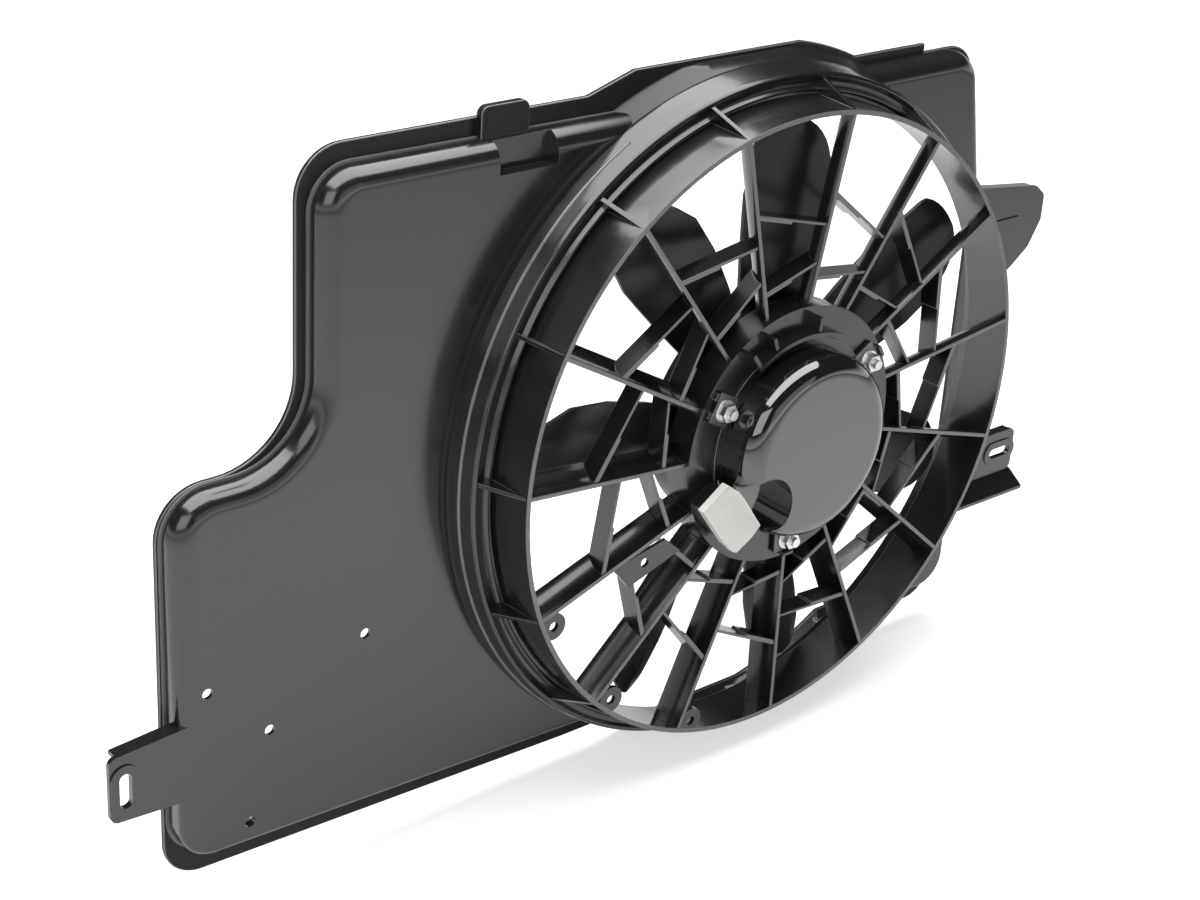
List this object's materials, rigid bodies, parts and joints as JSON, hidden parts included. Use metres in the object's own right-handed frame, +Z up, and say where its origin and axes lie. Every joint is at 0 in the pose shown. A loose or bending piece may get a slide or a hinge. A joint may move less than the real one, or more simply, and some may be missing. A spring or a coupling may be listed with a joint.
{
  "type": "radiator fan shroud",
  "caption": "Moulded pan that seals on a radiator and ducts its air through a ring with an electric cooling fan, held by curved vanes.",
  "frame": {"origin": "on the fan axis, in the plane where the flange seals on the radiator", "axes": "+X to the right seen from the engine side, +Y into the radiator along the fan axis, +Z up"},
  "size_m": [0.7298, 0.097, 0.442],
  "materials": {
    "pan_plastic": "injection-moulded black plastic, satin with a faint mottle",
    "ring_plastic": "injection-moulded black plastic, satin",
    "fan_plastic": "moulded black plastic, satin",
    "can_paint": "gloss black paint on drawn steel",
    "zinc_steel": "bright zinc plate",
    "bare_steel": "ground steel",
    "core_steel": "stacked electrical steel",
    "magnet_ferrite": "dull sintered ferrite",
    "copper_wire": "enamelled copper wire",
    "copper_bars": "turned copper",
    "carbon": "pressed carbon",
    "card_board": "brown laminate",
    "brass_plate": "stamped brass",
    "ivory_plastic": "moulded ivory plastic"
  },
  "bodies": {
    "shroud": {"shroud_panel": "pan_plastic", "drum_skirt": "pan_plastic", "seal_flange": "pan_plastic", "fan_ring": "ring_plastic", "stator_vanes": "ring_plastic", "outer_crossbars": "ring_plastic", "inner_crossbars": "ring_plastic", "motor_plate": "ring_plastic", "ring_tabs": "ring_plastic", "left_bracket": "pan_plastic", "right_bracket": "pan_plastic", "wing_tab": "pan_plastic", "top_clip": "pan_plastic", "motor_can": "can_paint", "motor_end_plate": "zinc_steel", "motor_bracket": "can_paint", "stud_washers": "zinc_steel", "stud_plates": "zinc_steel", "wire_web": "ring_plastic", "stud_nuts": "zinc_steel", "motor_studs": "zinc_steel", "field_magnets": "magnet_ferrite", "brush_card": "card_board", "brush_holders": "brass_plate", "carbon_brushes": "carbon", "brush_springs": "bare_steel", "front_bearing": "bare_steel", "rear_bearing": "bare_steel", "connector_housing": "ivory_plastic", "connector_pins": "brass_plate"},
    "rotor": {"armature_core": "core_steel", "armature_windings": "copper_wire", "commutator": "copper_bars", "motor_shaft": "bare_steel", "fan_hub": "fan_plastic", "fan_blades": "fan_plastic", "fan_washer": "zinc_steel", "fan_nut": "zinc_steel"}
  },
  "joints": [
    {"name": "fan_spin", "type": "hinge", "parent": "shroud", "child": "rotor", "pos_m": [0, -0.05, 0], "axis": [0, 1, 0], "continuous": true}
  ]
}
